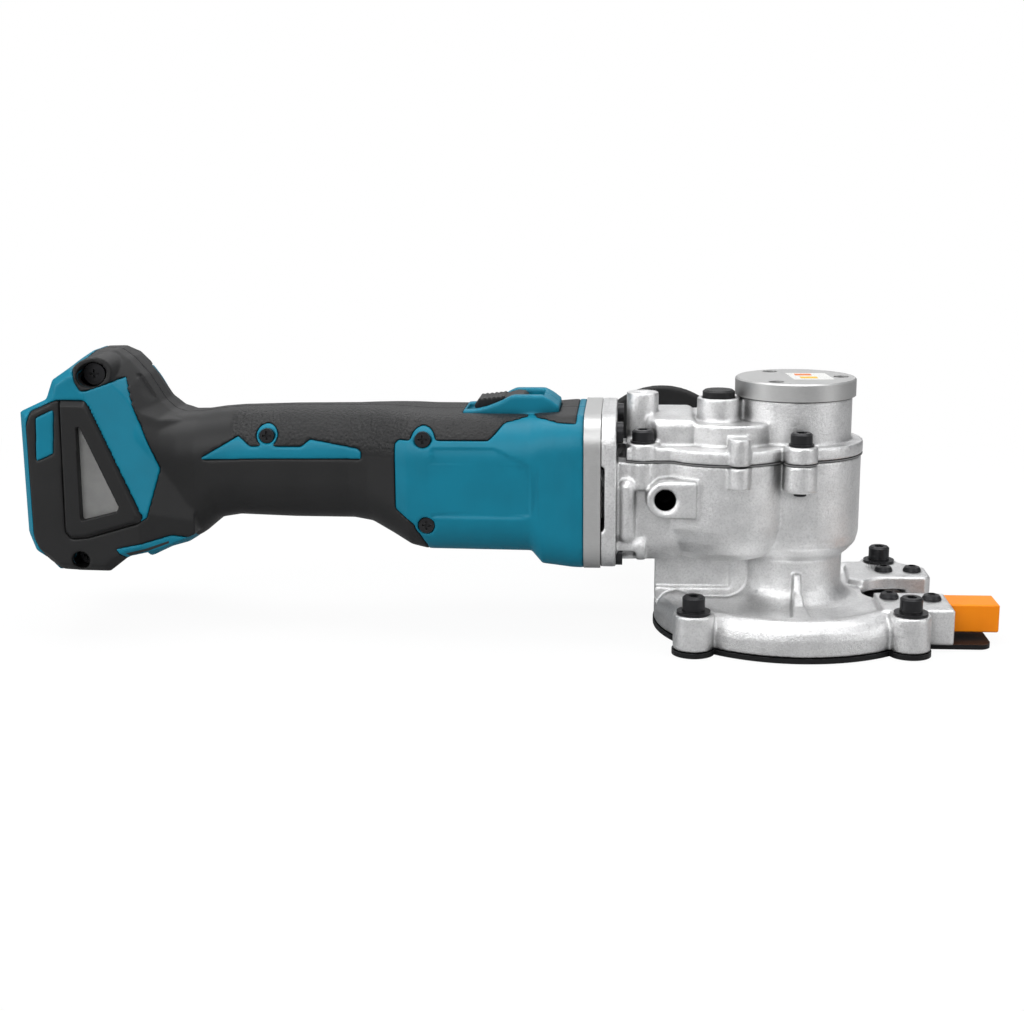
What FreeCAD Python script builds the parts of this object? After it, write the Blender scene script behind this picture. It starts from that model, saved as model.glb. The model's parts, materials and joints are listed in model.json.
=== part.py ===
import FreeCAD, Part
import math
import os
from FreeCAD import Vector

# Cordless rebar flush-cutting saw, no battery fitted. Millimetres.
# Origin on the spindle axis at the underside of the shoe plate, +Z up, +X out through the mouth.

# Axes
MOTOR_Z = 58.5
INTER_X = -28.8
HANDLE_X = -52.6
HANDLE_Z = 59.3
LOCK_CIRCLE_R = 9.0
LOCK_ANGLE = math.radians(254.5)
LOCK_X = INTER_X + LOCK_CIRCLE_R * math.cos(LOCK_ANGLE)
LOCK_Y = LOCK_CIRCLE_R * math.sin(LOCK_ANGLE)

# Base and mouth
BASE_R = 56.0
BASE_Z = 2.0
BASE_TOP = 16.0
CHAMBER_R = 53.0
CHAMBER_TOP = 10.5
MOUTH_NEAR = -10.5
MOUTH_FAR = 15.5
MOUTH_END_X = 30.0
PRONG_OUT = 36.5
PRONG_FAR_OUT = 33.0
PRONG_TIP = 61.0
FLOOR_TOP = 13.2
BOSS_R = 8.0
EAR_TOP = 16.2
BASE_BOLTS = [(-41.2, -43.8), (42.8, -41.6), (42.8, 41.6), (-41.2, 43.8)]
# x, y, seat height, shank length
PRONG_SCREWS = [(38.0, -18.5, 16.5, 5.8), (54.5, -20.5, 16.5, 16.0), (42.6, 26.6, 16.0, 7.0), (54.7, 26.6, 16.0, 15.5)]

# Guide block screw
BLOCK_SCREW_Y = -15.5
BLOCK_SCREW_Z = 10.0

# Gear head
NECK_R = 20.7
COLUMN_R = 27.0
COLUMN_Z = 38.0
PARTING_Z = 73.0
GASKET = 0.4
BOWL_R = 28.5
BOWL_Y = 8.0
BOWL_Z = 31.7
TOWER_R = 22.8
TOWER_TOP = 96.4
CAP_R = 24.2
CAP_TOP = 103.4
CAP_SCREW_R = 18.2
CAP_SCREW_ANGLES = [math.radians(120.0 * k) for k in range(3)]
COVER_EAR_TOP = 80.2
COVER_BOLTS = [(-61.5, -23.5), (0.0, -29.5), (0.0, 29.5), (-61.5, 23.5)]
FLANGE_X0 = -78.0
FLANGE_X1 = -71.8
FLANGE_SCREWS = [(-24.5, 84.2), (24.5, 84.2), (-24.5, 34.8), (24.5, 34.8)]

# Blade and gears
BLADE_R = 50.0
BLADE_T = 1.6
BLADE_Z = 5.0
BLADE_TEETH = 24
SPUR_M = 1.2
SPUR_GEAR_T = 32
SPUR_PINION_T = 16
SPUR_Z = (74.0, 82.0)
BEVEL_M = 1.5
BEVEL_GEAR_T = 30
BEVEL_PINION_T = 10
BEVEL_FACE = 8.0
SPINDLE_R = 7.5
TOP_JOURNAL_R = 5.0
INTER_R = 5.0
MOTOR_R = 4.0
RUN = 0.03

# Motor housing and grip stations: x, half width, bottom, top, corner radius
GRIP_STATIONS = [
    (-264.0, 30.0, 30.0, 94.0, 15.0),
    (-256.5, 27.0, 33.2, 88.8, 16.0),
    (-250.0, 25.0, 34.6, 88.2, 17.0),
    (-243.0, 23.4, 38.8, 88.6, 17.5),
    (-236.0, 22.6, 44.6, 89.8, 18.0),
    (-228.0, 22.4, 45.9, 90.5, 18.0),
    (-205.0, 22.4, 45.1, 91.2, 18.0),
    (-180.0, 22.6, 45.0, 91.4, 18.0),
    (-172.0, 24.0, 43.9, 91.5, 18.0),
    (-163.0, 27.4, 39.7, 91.2, 18.0),
    (-155.0, 30.6, 35.8, 90.6, 17.5),
    (-148.0, 31.3, 34.4, 90.1, 17.0),
    (-106.0, 31.5, 34.0, 89.9, 17.0),
    (-101.5, 31.6, 29.2, 90.4, 15.0),
    (-96.5, 31.9, 28.8, 90.6, 14.5),
    (-89.5, 33.4, 28.4, 90.9, 14.0),
    (-84.6, 33.4, 28.2, 91.0, 14.0),
]
# Battery housing side view: top corners differ between the cheek edges and the crest, the underside is shared
REAR_EDGE_TOP = [(-309.0, 93.2), (-298.0, 98.2), (-295.0, 106.0), (-288.5, 110.2), (-284.5, 110.8), (-280.0, 109.0),
                 (-275.5, 104.5), (-271.0, 98.0), (-266.5, 90.5), (-260.0, 86.5), (-243.5, 84.0)]
REAR_CREST_TOP = [(-309.0, 93.4), (-304.6, 95.2), (-300.5, 102.2), (-292.5, 110.9), (-286.5, 114.7), (-277.5, 114.9),
                  (-272.0, 111.0), (-266.0, 104.2), (-259.5, 93.4), (-255.5, 89.6), (-243.5, 86.0)]
REAR_UNDER = [(-243.5, 41.0), (-255.0, 37.0), (-267.7, 34.2), (-272.4, 31.2), (-276.2, 27.9), (-289.7, 28.2),
              (-297.0, 28.6), (-301.7, 33.1), (-306.4, 36.3), (-309.0, 43.9)]
REAR_HALF = 38.0
REAR_BEVEL = 3.0
OVERMOULD_T = 2.2
SHELL_T = 2.6


def cyl(r, z0, z1, x=0.0, y=0.0):
    return Part.makeCylinder(r, z1 - z0, Vector(x, y, z0), Vector(0, 0, 1))


def cyl_x(r, x0, x1, y=0.0, z=0.0):
    return Part.makeCylinder(r, x1 - x0, Vector(x0, y, z), Vector(1, 0, 0))


def cyl_y(r, y0, y1, x=0.0, z=0.0):
    return Part.makeCylinder(r, y1 - y0, Vector(x, y0, z), Vector(0, 1, 0))


def box(x0, x1, y0, y1, z0, z1):
    return Part.makeBox(x1 - x0, y1 - y0, z1 - z0, Vector(x0, y0, z0))


def fuse(shapes):
    shapes = list(shapes)
    body = shapes[0]
    if len(shapes) > 1:
        body = body.multiFuse(shapes[1:])
    return body.removeSplitter()


def polygon_face(points):
    wire = Part.makePolygon(points + [points[0]])
    return Part.Face(wire)


def prism_y(points, y0, y1):
    """Side-view outline of (x, z) points, swept across the tool."""
    face = polygon_face([Vector(x, y0, z) for x, z in points])
    return face.extrude(Vector(0, y1 - y0, 0))


def prism_z(points, z0, z1):
    """Plan outline of (x, y) points, swept upward."""
    face = polygon_face([Vector(x, y, z0) for x, y in points])
    return face.extrude(Vector(0, 0, z1 - z0))


def revolve_z(points, x=0.0, y=0.0):
    """Turned form from (radius, z) points about a vertical axis."""
    face = polygon_face([Vector(x + r, y, z) for r, z in points])
    return face.revolve(Vector(x, y, 0), Vector(0, 0, 1), 360)


def mirror_y(shape):
    return shape.mirror(Vector(0, 0, 0), Vector(0, 1, 0))


def rounded_section(x, half, z0, z1, r):
    """Closed rounded rectangle across the tool at station x."""
    y = half - r
    lo = z0 + r
    hi = z1 - r
    k = r * math.sqrt(0.5)
    corners = [(y, lo, 1, -1), (y, hi, 1, 1), (-y, hi, -1, 1), (-y, lo, -1, -1)]
    starts = [(y, z0), (half, hi), (-y, z1), (-half, lo)]
    ends = [(half, lo), (y, z1), (-half, hi), (-y, z0)]
    edges = []
    for i in range(4):
        cy, cz, sy, sz = corners[i]
        a = Vector(x, starts[i][0], starts[i][1])
        m = Vector(x, cy + sy * k, cz + sz * k)
        b = Vector(x, ends[i][0], ends[i][1])
        nxt = starts[(i + 1) % 4]
        edges.append(Part.Arc(a, m, b).toShape())
        edges.append(Part.LineSegment(b, Vector(x, nxt[0], nxt[1])).toShape())
    return Part.Wire(edges)


def grip_form(inset):
    """Motor housing, grip and flare as one lofted form, shrunk evenly by inset."""
    wires = []
    for x, half, z0, z1, r in GRIP_STATIONS:
        wires.append(rounded_section(x, half - inset, z0 + inset, z1 - inset, r - inset))
    return Part.makeLoft(wires, True, True)


def shrink_outline(points, inset):
    """Side-view outline with every side moved in by inset."""
    out = []
    count = len(points)
    for i in range(count):
        x, z = points[i]
        ax, az = points[i - 1]
        bx, bz = points[(i + 1) % count]
        n1 = Vector(az - z, 0, x - ax).normalize()
        n2 = Vector(z - bz, 0, bx - x).normalize()
        mid = n1 + n2
        reach = inset / max(0.35, (mid.Length / 2.0) ** 2) / 2.0
        out.append((x - mid.x * reach, z - mid.z * reach))
    return out


def cheek_chamfer(inset):
    """Wedge that bevels the near cheek toward the grip, along the leaning edge of the filter cover."""
    lean = Vector(20.0, 0, -48.0).normalize()
    out = Vector(48.0, 0, 20.0).normalize()
    top = Vector(-281.0, 0, 98.0) - lean * 60.0
    dx = 0.671 * inset
    dy = 0.742 * inset
    pts = []
    for n, y in ((-dx - 2.2, -REAR_HALF + dy - 2.0), (42.0 - dx, dy), (42.0, -60.0), (-dx - 2.2, -60.0)):
        pts.append(top + out * n + Vector(0, y, 0))
    face = polygon_face(pts)
    return face.extrude(lean * 170.0)


def flare_chamfer(inset):
    """Upright wedge that runs the near cheek into the grip."""
    k = 0.81 * inset
    pts = [(-264.0 - k, -REAR_HALF - 1.3 + k), (-220.0 - k, -7.5 + k), (-220.0, -60.0), (-264.0 - k, -60.0)]
    return prism_z(pts, 0.0, 140.0)


def rear_form(inset):
    """Battery housing: crowned across the top, small bevels at both cheeks, run into the grip by chamfers."""
    edge = REAR_EDGE_TOP + REAR_UNDER
    crest = REAR_CREST_TOP + REAR_UNDER
    rows = [(-REAR_HALF + inset, edge, inset + REAR_BEVEL), (-REAR_HALF + REAR_BEVEL, edge, inset),
            (-8.0, crest, inset), (8.0, crest, inset), (REAR_HALF - REAR_BEVEL, edge, inset),
            (REAR_HALF - inset, edge, inset + REAR_BEVEL)]
    wires = []
    for y, outline, shrink in rows:
        pts = [Vector(x, y, z) for x, z in shrink_outline(outline, shrink)]
        wires.append(Part.makePolygon(pts + [pts[0]]))
    body = Part.makeLoft(wires, True, True)
    body = body.fuse(cyl_y(6.8 - inset, -REAR_HALF + 1.0 + inset, -10.0, -279.8, 107.6))
    for wedge in (cheek_chamfer(inset), flare_chamfer(inset)):
        body = body.cut(wedge).cut(mirror_y(wedge))
    return body


def body_form(inset):
    return fuse([rear_form(inset), grip_form(inset)])


def involute_half_angle(teeth, module, radius, backlash):
    """Half the angle a tooth takes up at a radius."""
    alpha = math.radians(20.0)
    pitch_r = module * teeth / 2.0
    base_r = pitch_r * math.cos(alpha)
    half = (math.pi * module / 2.0 - backlash) / 2.0 / pitch_r
    inv = math.tan(alpha) - alpha
    if radius <= base_r:
        return half + inv
    a = math.acos(base_r / radius)
    return half + inv - (math.tan(a) - a)


def spur_wheel(teeth, z0, z1, x, phase, bore, backlash=0.16):
    """Straight-cut involute wheel about a vertical axis."""
    pitch_r = SPUR_M * teeth / 2.0
    tip = pitch_r + 0.95 * SPUR_M
    root = pitch_r - 1.2 * SPUR_M
    radii = [root, root + 0.5, pitch_r - 0.4, pitch_r, pitch_r + 0.5, tip]
    pts = []
    for i in range(teeth):
        mid = 2 * math.pi * i / teeth + phase
        halves = [(r, involute_half_angle(teeth, SPUR_M, r, backlash)) for r in radii]
        for r, h in halves:
            pts.append((x + r * math.cos(mid - h), r * math.sin(mid - h)))
        for r, h in reversed(halves):
            pts.append((x + r * math.cos(mid + h), r * math.sin(mid + h)))
    wheel = prism_z(pts, z0, z1)
    return wheel.cut(cyl(bore, z0 - 1, z1 + 1, x))


def bevel_tooth(apex, axis, out_dir, teeth, mate, add, ded, backlash=0.3):
    """One straight bevel tooth: a back-cone profile drawn out toward the shared apex."""
    delta = math.atan2(teeth, mate)
    pitch_r = BEVEL_M * teeth / 2.0
    cone = pitch_r / math.sin(delta)
    virtual = pitch_r / math.cos(delta)
    gen = axis * math.cos(delta) + out_dir * math.sin(delta)
    up = out_dir * math.cos(delta) - axis * math.sin(delta)
    side = axis.cross(out_dir)
    virtual_teeth = 2 * virtual / BEVEL_M
    rows = [-ded, -0.45 * BEVEL_M, 0.0, 0.5 * add, add]
    pts = []
    for h in rows:
        r = virtual + h
        a = involute_half_angle(virtual_teeth, BEVEL_M, r, backlash)
        pts.append((h, -r * math.sin(a)))
    for h in reversed(rows):
        r = virtual + h
        a = involute_half_angle(virtual_teeth, BEVEL_M, r, backlash)
        pts.append((h, r * math.sin(a)))
    big = []
    small = []
    s = (cone - BEVEL_FACE) / cone
    for h, t in pts:
        p = gen * cone + up * h + side * t
        big.append(apex + p)
        small.append(apex + p * s)
    wires = [Part.makePolygon(big + [big[0]]), Part.makePolygon(small + [small[0]])]
    return Part.makeLoft(wires, True, True)


def bevel_pair():
    """Motor pinion and the crown wheel under it, in mesh on the motor side."""
    apex = Vector(INTER_X, 0, MOTOR_Z)
    down = Vector(0, 0, -1)
    back = Vector(-1, 0, 0)
    delta = math.atan2(BEVEL_GEAR_T, BEVEL_PINION_T)
    cone = BEVEL_M * BEVEL_GEAR_T / 2.0 / math.sin(delta)
    near = cone - BEVEL_FACE
    pinion_r = BEVEL_M * BEVEL_PINION_T / 2.0
    # crown wheel
    teeth = []
    for i in range(BEVEL_GEAR_T):
        a = 2 * math.pi * (i + 0.5) / BEVEL_GEAR_T + math.pi
        teeth.append(bevel_tooth(apex, down, Vector(math.cos(a), math.sin(a), 0),
                                 BEVEL_GEAR_T, BEVEL_PINION_T, 0.75, 2.1))
    root_drop = 1.9
    z_big = MOTOR_Z - cone * math.cos(delta)
    r_big = BEVEL_GEAR_T * BEVEL_M / 2.0
    z_near = MOTOR_Z - near * math.cos(delta)
    r_near = near * math.sin(delta)
    nx = root_drop * math.cos(delta)
    nz = root_drop * math.sin(delta)
    blank = revolve_z([(INTER_R, z_near - nz), (r_near - nx, z_near - nz), (r_big - nx, z_big - nz),
                       (r_big - nx, z_big - 6.2), (9.5, z_big - 6.2), (9.5, 43.3), (INTER_R, 43.3)], INTER_X)
    gear = fuse([blank] + teeth)
    # motor pinion
    pin_teeth = []
    for i in range(BEVEL_PINION_T):
        a = 2 * math.pi * i / BEVEL_PINION_T
        pin_teeth.append(bevel_tooth(apex, back, Vector(0, math.sin(a), -math.cos(a)),
                                     BEVEL_PINION_T, BEVEL_GEAR_T, 1.5, 1.25))
    pd = math.atan2(BEVEL_PINION_T, BEVEL_GEAR_T)
    x_big = INTER_X - cone * math.cos(pd)
    x_near = INTER_X - near * math.cos(pd)
    drop = 1.1
    rb = pinion_r - drop * math.cos(pd)
    rn = near * math.sin(pd) - drop * math.cos(pd)
    cone_blank = Part.makeCone(rb, rn, x_near - x_big, Vector(x_big - drop * math.sin(pd), 0, MOTOR_Z),
                               Vector(1, 0, 0))
    collar = cyl_x(6.6, x_big - 4.5, x_big, 0, MOTOR_Z)
    pinion = fuse([cone_blank, collar] + pin_teeth)
    pinion = pinion.cut(cyl_x(2.5, x_big - 6, x_near + 2, 0, MOTOR_Z))
    return gear, pinion, x_big, x_near


def socket_head(r, h, socket_r, z, x, y, shank_r, depth, flare):
    """Socket cap screw, flared under the head by flare, with a hex recess."""
    head = revolve_z([(0, z), (r, z), (r, z + h - 0.7), (r - 0.7, z + h), (0, z + h)], x, y)
    collar = cyl(r + flare, z, z + 0.8, x, y)
    hexagon = prism_z([(x + socket_r * math.cos(math.pi * k / 3), y + socket_r * math.sin(math.pi * k / 3))
                       for k in range(6)], z + h - 2.6, z + h + 1)
    shank = cyl(shank_r, z - depth, z, x, y)
    return fuse([head, collar, shank]).cut(hexagon)


def button_head_z(x, y, z, r, h, shank_r, depth):
    dome = revolve_z([(0, z), (r, z), (r, z + 0.7), (r * 0.82, z + h * 0.8), (r * 0.5, z + h), (0, z + h)], x, y)
    hexagon = prism_z([(x + 1.7 * math.cos(math.pi * k / 3), y + 1.7 * math.sin(math.pi * k / 3))
                       for k in range(6)], z + 0.6, z + h + 1)
    return fuse([dome, cyl(shank_r, z - depth, z, x, y)]).cut(hexagon)


def stadium(r, half, z0, z1, x):
    parts = [cyl(r, z0, z1, x, -half), cyl(r, z0, z1, x, half), box(x - r, x + r, -half, half, z0, z1)]
    return fuse(parts)


def base_outline(z0, z1, grow=0.0):
    """Round base with four bolt ears, in plan."""
    ears = [cyl(BOSS_R + grow, z0, z1, x, y) for x, y in BASE_BOLTS]
    return fuse([cyl(BASE_R + grow, z0, z1)] + ears)


def mouth_cutter(z0, z1):
    r = (MOUTH_FAR - MOUTH_NEAR) / 2.0
    slot = box(MOUTH_END_X + r, 100, MOUTH_NEAR, MOUTH_FAR, z0, z1)
    return fuse([slot, cyl(r, z0, z1, MOUTH_END_X + r, MOUTH_NEAR + r)])


def bowl_outer():
    """Round-bottomed bowl around the crown wheel."""
    pts = [(0, BOWL_Z), (14, BOWL_Z), (20, BOWL_Z + 1.6), (24.4, BOWL_Z + 5.0), (27.0, BOWL_Z + 9.5),
           (BOWL_R, BOWL_Z + 15.0), (BOWL_R, PARTING_Z), (0, PARTING_Z)]
    near = revolve_z(pts, INTER_X, -BOWL_Y)
    far = revolve_z(pts, INTER_X, BOWL_Y)
    mid_pts = [(INTER_X + r, z) for r, z in pts[1:7]] + [(INTER_X - r, z) for r, z in reversed(pts[1:7])]
    return fuse([near, far, prism_y(mid_pts, -BOWL_Y, BOWL_Y)])


def flange_block(x0, x1, half, z0, z1, r):
    a = rounded_section(x0, half, z0, z1, r)
    b = rounded_section(x1, half, z0, z1, r)
    return Part.makeLoft([a, b], True, True)


def gear_housing():
    base = revolve_z([(0, BASE_Z), (BASE_R, BASE_Z), (BASE_R, 8.4), (BASE_R - 0.7, 11.4), (BASE_R - 2.6, 13.9),
                      (BASE_R - 5.4, 15.4), (BASE_R - 8.4, 15.7), (BASE_R - 11.0, 15.0), (BASE_R - 13.2, 13.7),
                      (BASE_R - 15.4, FLOOR_TOP), (0, FLOOR_TOP)])
    ears = [cyl(BOSS_R, BASE_Z, EAR_TOP, x, y) for x, y in BASE_BOLTS]
    near = box(33, PRONG_TIP, -PRONG_OUT, MOUTH_NEAR, BASE_Z, 16.5)
    far_pts = [(26.0, 13.0), (33.0, 8.0), (PRONG_TIP - 2.5, 8.0), (PRONG_TIP - 2.5, MOUTH_FAR),
               (PRONG_TIP, MOUTH_FAR + 2.5), (PRONG_TIP, PRONG_FAR_OUT), (50.0, 42.6), (28.0, 42.6)]
    far = prism_z(far_pts, BASE_Z, BASE_TOP)
    neck = revolve_z([(0, 12), (27.4, 12), (27.4, FLOOR_TOP + 0.2), (24.8, FLOOR_TOP + 1.1), (22.7, FLOOR_TOP + 2.8),
                      (21.3, FLOOR_TOP + 5.0), (NECK_R, FLOOR_TOP + 7.6), (NECK_R, 31.5), (23.5, 34.0),
                      (26.0, COLUMN_Z - 1), (COLUMN_R, COLUMN_Z + 3), (COLUMN_R, PARTING_Z), (0, PARTING_Z)])
    rib_rows = []
    for y, half, top in ((-18.0, 2.1, 26.5), (-23.5, 2.1, 26.5), (-27.0, 2.4, 20.4), (-34.0, 3.4, 16.4), (-48.0, 5.4, 15.3)):
        corners = [(0.6 - half, 9.0), (0.6 + half, 9.0), (0.6 + half * 0.7, top), (0.6 - half * 0.7, top)]
        row = [Vector(x, y, z) for x, z in corners]
        rib_rows.append(Part.makePolygon(row + [row[0]]))
    rib = Part.makeLoft(rib_rows, True, True)
    web = box(-55.8, -16, -9.5, 9.5, BASE_TOP - 6, 40)
    web = web.cut(box(-57, -25, -10, -8.2, 17.2, 50)).cut(box(-57, -25, 8.2, 10, 17.2, 50))
    flange = flange_block(FLANGE_X0, FLANGE_X1, 33.4, 29.2, 91.2, 12.0)
    throat_a = rounded_section(FLANGE_X1 - 1.0, 28.6, 31.0, 89.8, 13.0)
    throat_b = rounded_section(-47.0, 27.0, 31.4, 90.0, 11.0)
    throat = Part.makeLoft([throat_a, throat_b], True, True)
    above = box(FLANGE_X1, 60, -60, 60, PARTING_Z, 130)
    throat = throat.cut(above)
    pads = [cyl_x(6.0, FLANGE_X1 - 2, -60.0, y, 38.4) for y in (-23.5, 23.5)]
    handle_pads = []
    for s in (-1, 1):
        pad = cyl_y(7.3, 24, 36.5, HANDLE_X, HANDLE_Z)
        tail = box(HANDLE_X, -40.5, 24, 36.5, HANDLE_Z - 7.3, HANDLE_Z + 7.3)
        pad = fuse([pad, tail])
        if s < 0:
            pad = mirror_y(pad)
        handle_pads.append(pad)
    bolt_ears = [cyl(6.6, 62.0, PARTING_Z, x, y) for x, y in COVER_BOLTS]
    half_rib = cyl(4.4, 64.0, PARTING_Z, INTER_X + 4.6, -36.0)
    side_ribs = []
    for y in (-28.7, 28.7):
        side_ribs.append(fuse([cyl(3.3, 44.0, 63.0, -67.6, y), Part.makeSphere(3.3, Vector(-67.6, y, 63.0)),
                               Part.makeSphere(3.3, Vector(-67.6, y, 44.0))]))
    body = fuse([base, near, far, neck, rib, web, bowl_outer(), flange, throat, half_rib]
                + ears + pads + handle_pads + bolt_ears + side_ribs)
    # hollows
    body = body.cut(fuse([
        cyl(CHAMBER_R, BASE_Z - 1, CHAMBER_TOP),
        box(36, PRONG_TIP + 5, MOUTH_FAR - 2, PRONG_FAR_OUT - 3, BASE_Z - 1, 8.2),
    ]).cut(box(50.5, 70, -60, MOUTH_NEAR, 0, 20)).cut(
        fuse([cyl(BOSS_R, 0, 20, x, y) for x, y in BASE_BOLTS])))
    body = body.cut(cyl(BLADE_R + 1.2, BASE_Z - 1, CHAMBER_TOP).cut(box(50.5, 70, -60, MOUTH_NEAR, 0, 20)))
    body = body.cut(mouth_cutter(0, 30))
    body = body.cut(fuse([cyl(16.0, 19.0, 28.0), cyl(12.0, 9.0, 40.0), cyl(23.0, 40.0, PARTING_Z + 5),
                          stadium(24.6, BOWL_Y - 1.0, 43.0, PARTING_Z + 5, INTER_X),
                          cyl(8.0, 38.0, 43.5, INTER_X)]))
    body = body.cut(cyl_x(22.0, FLANGE_X0 - 1, -45.0, 0, MOTOR_Z))
    for x, y in BASE_BOLTS:
        body = body.cut(cyl(2.5, 0, 30, x, y)).cut(cyl(6.8, EAR_TOP, 30, x, y))
    for x, y, z, depth in PRONG_SCREWS:
        body = body.cut(cyl(2.0, z - depth - 0.3, 30, x, y))
    for x, y in COVER_BOLTS:
        body = body.cut(cyl(2.5, 55, 80, x, y))
    for y, z in FLANGE_SCREWS:
        body = body.cut(cyl_x(2.5, FLANGE_X0 - 1, FLANGE_X1 + 1, y, z))
        body = body.cut(cyl_x(4.9, FLANGE_X1, FLANGE_X1 + 8, y, z))
    body = body.cut(cyl_y(4.0, -37, -24.2, HANDLE_X, HANDLE_Z))
    body = body.cut(cyl_y(4.0, 24.2, 37, HANDLE_X, HANDLE_Z))
    body = body.cut(cyl_x(1.6, 52.7, PRONG_TIP + 1, BLOCK_SCREW_Y, BLOCK_SCREW_Z))
    body = body.cut(Part.makeCone(5.2, 4.0, 1.2, Vector(HANDLE_X, -36.5, HANDLE_Z), Vector(0, 1, 0)))
    body = body.cut(box(FLANGE_X0 - 1, FLANGE_X0 + 1.4, -50, -20, 46.0, 72.0))
    body = body.cut(box(FLANGE_X0 - 1, FLANGE_X0 + 1.4, 20, 50, 46.0, 72.0))
    return body


def cover_layer(z0, z1):
    """The cover's bolting flange, which follows the housing outline."""
    parts = [stadium(BOWL_R + 1.0, BOWL_Y, z0, z1, INTER_X), cyl(COLUMN_R + 0.6, z0, z1),
             box(-68.0, -45, -28.5, 28.5, z0, z1)]
    parts += [cyl(6.6, z0, z1, x, y) for x, y in COVER_BOLTS]
    return fuse(parts)


def gear_cover():
    z0 = PARTING_Z + GASKET
    layer = cover_layer(z0, 78.6)
    tower = cyl(TOWER_R, z0, TOWER_TOP)
    step = fuse([cyl(20.0, z0, 87.2, INTER_X + 1.5, -7.0), cyl(20.0, z0, 87.2, INTER_X + 1.5, 7.0),
                 box(INTER_X - 18.5, INTER_X + 21.5, -7, 7, z0, 87.2)])
    block = box(-60.0, -40, -22.0, 22.0, z0, 88.8)
    block = block.makeFillet(3.0, [e for e in block.Edges if e.BoundBox.ZMax > 88.0])
    lock_boss = cyl(8.6, z0, 96.4, LOCK_X, LOCK_Y)
    side_boss = cyl(6.4, z0, 95.2, INTER_X + 4.5, -3.5)
    bearing_boss = cyl(9.0, z0, 93.0, INTER_X, 0)
    post = cyl(6.5, z0, 97.2, -61.5, -1.0)
    half_rib = cyl(4.4, z0, 84.0, INTER_X + 4.6, -36.0)
    rib_back = box(INTER_X + 0.8, INTER_X + 8.4, -36, -24, z0, 83.0)
    ears = [cyl(6.6, z0, COVER_EAR_TOP, x, y) for x, y in COVER_BOLTS]
    body = fuse([layer, tower, step, block, lock_boss, side_boss, bearing_boss, post, half_rib, rib_back] + ears)
    hollows = fuse([
        cyl(21.2, z0 - 1, 84.5), cyl(11.0, 80, 84.6), cyl(13.0, 84.4, 92.6), cyl(11.0, 92.0, TOWER_TOP + 1),
        cyl(14.0, z0 - 1, 84.5, INTER_X), cyl(6.5, 84.0, 89.4, INTER_X),
    ])
    body = body.cut(hollows)
    body = body.cut(cyl(1.85, 80, 99, LOCK_X, LOCK_Y))
    body = body.cut(cyl(6.5, 90.4, 99, LOCK_X, LOCK_Y))
    for x, y in COVER_BOLTS:
        body = body.cut(cyl(2.5, 60, 100, x, y))
        body = body.cut(cyl(5.4, COVER_EAR_TOP, 100, x, y))
    body = body.cut(Part.makeCone(2.0, 3.6, 1.2, Vector(-61.5, -1.0, 96.1), Vector(0, 0, 1)))
    for a in CAP_SCREW_ANGLES:
        body = body.cut(cyl(1.6, 84, 100, CAP_SCREW_R * math.cos(a), CAP_SCREW_R * math.sin(a)))
    return body


def cover_gasket():
    layer = cover_layer(PARTING_Z, PARTING_Z + GASKET)
    layer = layer.cut(stadium(24.6, BOWL_Y - 1.0, 70, 80, INTER_X)).cut(cyl(23.0, 70, 80))
    layer = layer.cut(box(-58.0, -45, -20, 20, 70, 80))
    for x, y in COVER_BOLTS:
        layer = layer.cut(cyl(2.5, 70, 80, x, y))
    return layer


def end_cap():
    body = cyl(CAP_R, TOWER_TOP, CAP_TOP)
    rim = [e for e in body.Edges if e.BoundBox.ZLength < 0.01 and abs(e.BoundBox.ZMin - CAP_TOP) < 0.01]
    body = body.makeChamfer(0.6, rim)
    for a in CAP_SCREW_ANGLES:
        x = CAP_SCREW_R * math.cos(a)
        y = CAP_SCREW_R * math.sin(a)
        body = body.cut(cyl(1.6, 90, 110, x, y)).cut(cyl(3.1, CAP_TOP - 3.2, 110, x, y))
    return body.cut(cyl(6.5, TOWER_TOP - 1, TOWER_TOP + 2.0))


def cap_screws():
    group = []
    for a in CAP_SCREW_ANGLES:
        x = CAP_SCREW_R * math.cos(a)
        y = CAP_SCREW_R * math.sin(a)
        head = cyl(2.9, CAP_TOP - 3.2, CAP_TOP - 0.7, x, y)
        hexagon = prism_z([(x + 1.3 * math.cos(math.pi * n / 3), y + 1.3 * math.sin(math.pi * n / 3))
                           for n in range(6)], CAP_TOP - 2.2, CAP_TOP)
        group.append(fuse([head, cyl(1.55, 86, CAP_TOP - 3.2, x, y)]).cut(hexagon))
    return group


def ring(r0, r1, z0, z1, x=0.0, y=0.0):
    return cyl(r1, z0, z1, x, y).cut(cyl(r0, z0 - 1, z1 + 1, x, y))


def ring_x(r0, r1, x0, x1, z=MOTOR_Z):
    return cyl_x(r1, x0, x1, 0, z).cut(cyl_x(r0, x0 - 1, x1 + 1, 0, z))


def saw_blade():
    pts = []
    for i in range(BLADE_TEETH):
        a = 2 * math.pi * i / BLADE_TEETH
        for r, d in ((46.0, 0.0), (46.6, 3.5), (49.2, 9.0), (49.2, 11.2), (47.4, 12.4), (45.2, 13.6)):
            t = a + math.radians(d)
            pts.append((r * math.cos(t), r * math.sin(t)))
    disc = prism_z(pts, BLADE_Z, BLADE_Z + BLADE_T)
    return disc.cut(cyl(5.0, 0, 20))


def carbide_tips():
    tips = []
    for i in range(BLADE_TEETH):
        a = 360.0 * i / BLADE_TEETH + 11.2
        tip = box(47.5, BLADE_R, 0.0, 1.7, BLADE_Z - 0.2, BLADE_Z + BLADE_T + 0.2)
        tip.rotate(Vector(0, 0, 0), Vector(0, 0, 1), a)
        tips.append(tip)
    return tips


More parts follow.
